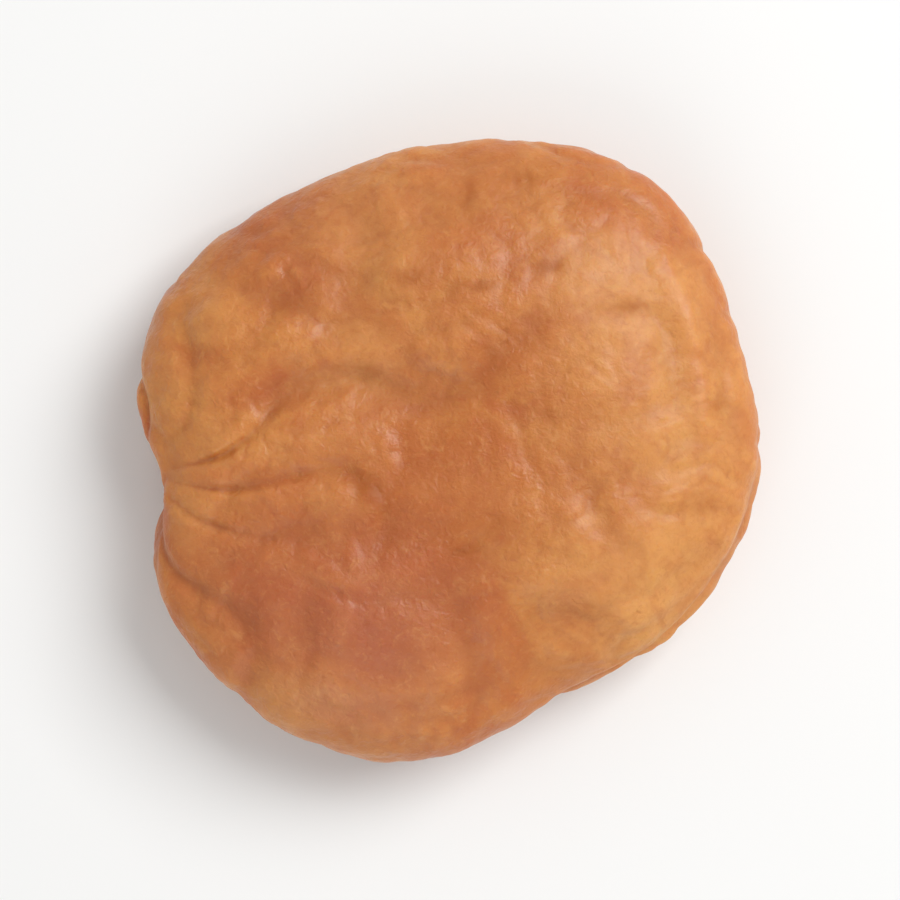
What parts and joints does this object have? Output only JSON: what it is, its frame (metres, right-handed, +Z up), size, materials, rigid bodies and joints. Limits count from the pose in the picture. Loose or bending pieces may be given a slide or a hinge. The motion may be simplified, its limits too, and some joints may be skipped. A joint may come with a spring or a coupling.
{
  "type": "dried apricot",
  "caption": "Whole dried apricot with its stone pushed out: a flattened, wrinkled orange fruit that lies on one broad face.",
  "frame": {"origin": "on the surface that the fruit lies on, under the middle of its outline", "axes": "+Z up, through the fruit's thickness; +X towards the tip of the fruit, away from the stem end"},
  "size_m": [0.043, 0.043, 0.0121],
  "materials": {
    "apricot_skin": "satin"
  },
  "bodies": {
    "root": {"dried_apricot": "apricot_skin"}
  },
  "joints": []
}
